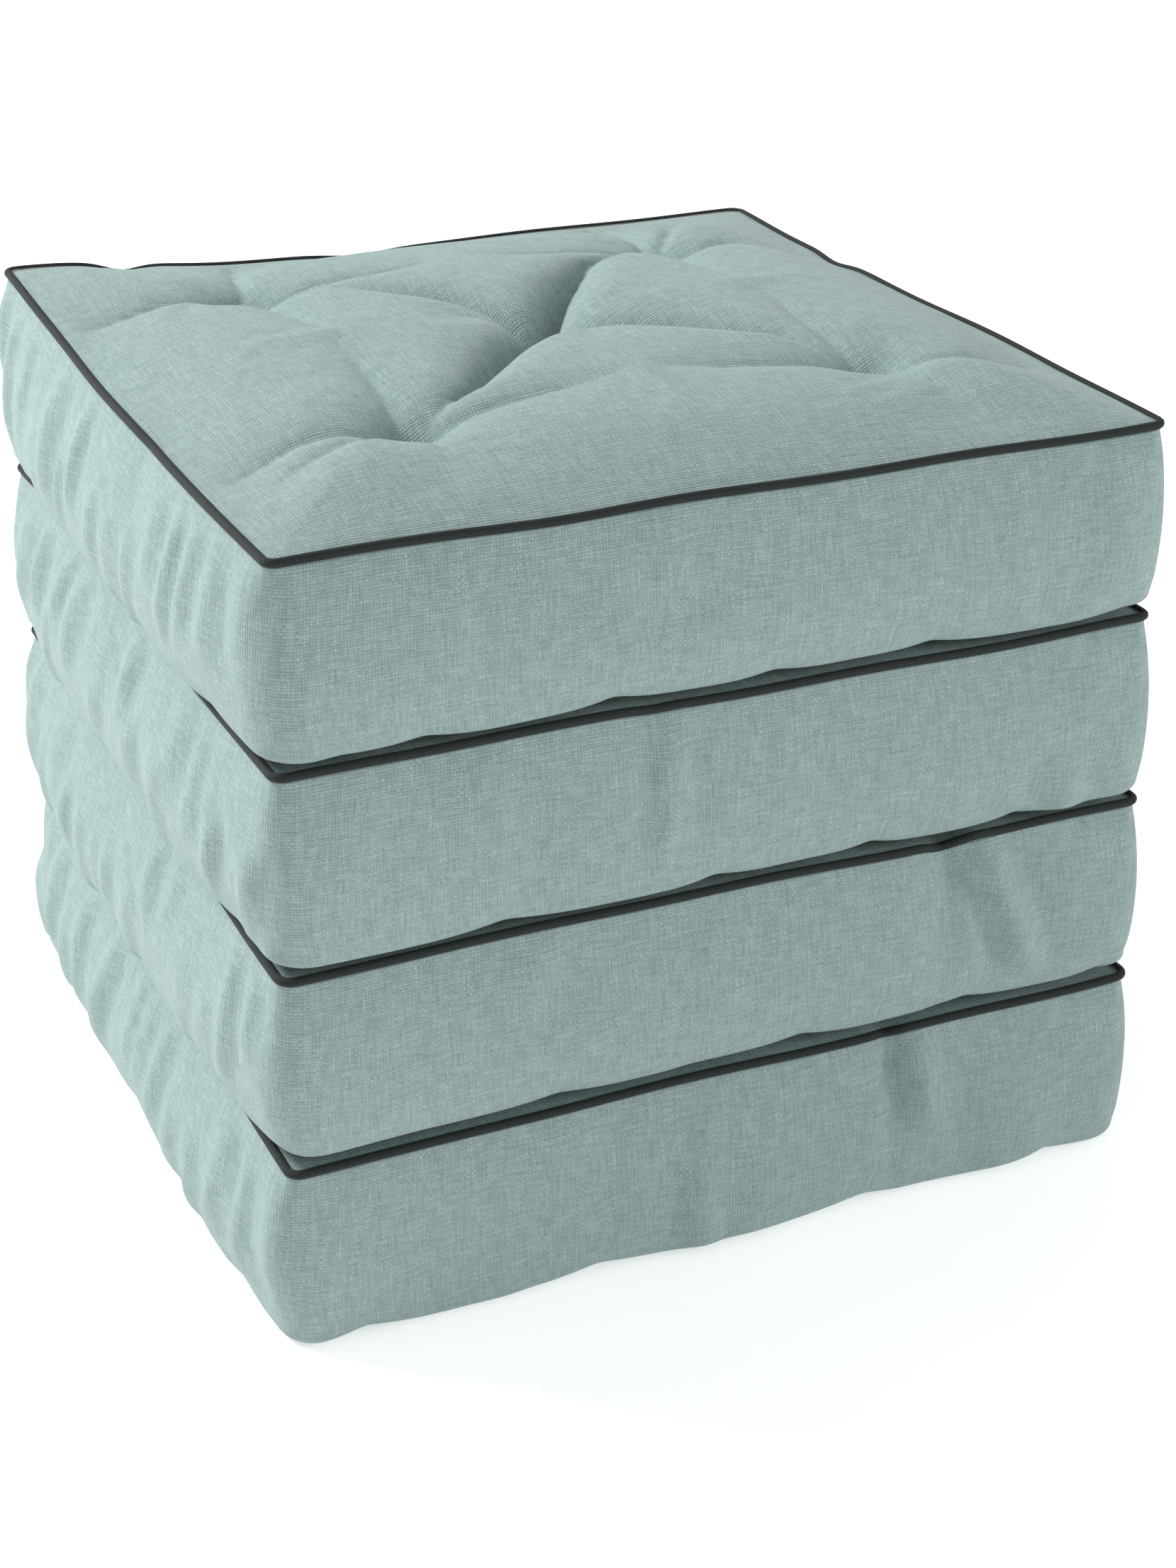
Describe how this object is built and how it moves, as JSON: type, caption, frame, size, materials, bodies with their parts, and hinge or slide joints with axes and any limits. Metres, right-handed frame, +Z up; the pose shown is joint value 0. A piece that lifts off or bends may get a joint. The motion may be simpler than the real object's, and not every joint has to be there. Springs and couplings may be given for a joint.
{
  "type": "floor cushion",
  "caption": "Stack of square tufted floor cushions: box shape with a plain side band, contrast piping round both seams and stitched tufts through a soft filling.",
  "frame": {"origin": "on the floor, under the middle of the stack, at the flat underside of the lowest cushion", "axes": "+Z up through the stack; X and Y square to the cushions' sides"},
  "size_m": [0.411, 0.411, 0.3619],
  "materials": {
    "top_panel": "grey-green linen-look plain weave, matt",
    "bottom_panel": "grey-green linen-look plain weave, matt",
    "side_band": "grey-green linen-look plain weave, matt",
    "piping_cover": "near-black fine ribbed cloth strip, matt",
    "piping_cord": "undyed cotton cord",
    "filling": "white fibre filling",
    "tuft_tie": "grey-green waxed thread"
  },
  "bodies": {
    "cushion_1": {"cushion_1_top_panel": "top_panel", "cushion_1_bottom_panel": "bottom_panel", "cushion_1_side_band": "side_band", "cushion_1_top_piping_cover": "piping_cover", "cushion_1_top_piping_cord": "piping_cord", "cushion_1_bottom_piping_cover": "piping_cover", "cushion_1_bottom_piping_cord": "piping_cord", "cushion_1_filling": "filling", "cushion_1_tuft_tie_1": "tuft_tie", "cushion_1_tuft_tie_2": "tuft_tie", "cushion_1_tuft_tie_3": "tuft_tie", "cushion_1_tuft_tie_4": "tuft_tie", "cushion_1_tuft_tie_5": "tuft_tie"},
    "cushion_2": {"cushion_2_top_panel": "top_panel", "cushion_2_bottom_panel": "bottom_panel", "cushion_2_side_band": "side_band", "cushion_2_top_piping_cover": "piping_cover", "cushion_2_top_piping_cord": "piping_cord", "cushion_2_bottom_piping_cover": "piping_cover", "cushion_2_bottom_piping_cord": "piping_cord", "cushion_2_filling": "filling", "cushion_2_tuft_tie_1": "tuft_tie", "cushion_2_tuft_tie_2": "tuft_tie", "cushion_2_tuft_tie_3": "tuft_tie", "cushion_2_tuft_tie_4": "tuft_tie", "cushion_2_tuft_tie_5": "tuft_tie"},
    "cushion_3": {"cushion_3_top_panel": "top_panel", "cushion_3_bottom_panel": "bottom_panel", "cushion_3_side_band": "side_band", "cushion_3_top_piping_cover": "piping_cover", "cushion_3_top_piping_cord": "piping_cord", "cushion_3_bottom_piping_cover": "piping_cover", "cushion_3_bottom_piping_cord": "piping_cord", "cushion_3_filling": "filling", "cushion_3_tuft_tie_1": "tuft_tie", "cushion_3_tuft_tie_2": "tuft_tie", "cushion_3_tuft_tie_3": "tuft_tie", "cushion_3_tuft_tie_4": "tuft_tie", "cushion_3_tuft_tie_5": "tuft_tie"},
    "cushion_4": {"cushion_4_top_panel": "top_panel", "cushion_4_bottom_panel": "bottom_panel", "cushion_4_side_band": "side_band", "cushion_4_top_piping_cover": "piping_cover", "cushion_4_top_piping_cord": "piping_cord", "cushion_4_bottom_piping_cover": "piping_cover", "cushion_4_bottom_piping_cord": "piping_cord", "cushion_4_filling": "filling", "cushion_4_tuft_tie_1": "tuft_tie", "cushion_4_tuft_tie_2": "tuft_tie", "cushion_4_tuft_tie_3": "tuft_tie", "cushion_4_tuft_tie_4": "tuft_tie", "cushion_4_tuft_tie_5": "tuft_tie"}
  },
  "joints": [
    {"name": "lift_cushion_2", "type": "slide", "parent": "cushion_1", "child": "cushion_2", "axis": [0, 0, 1], "range_m": [0, 0.12]},
    {"name": "lift_cushion_3", "type": "slide", "parent": "cushion_2", "child": "cushion_3", "axis": [0, 0, 1], "range_m": [0, 0.12]},
    {"name": "lift_cushion_4", "type": "slide", "parent": "cushion_3", "child": "cushion_4", "axis": [0, 0, 1], "range_m": [0, 0.12]}
  ]
}
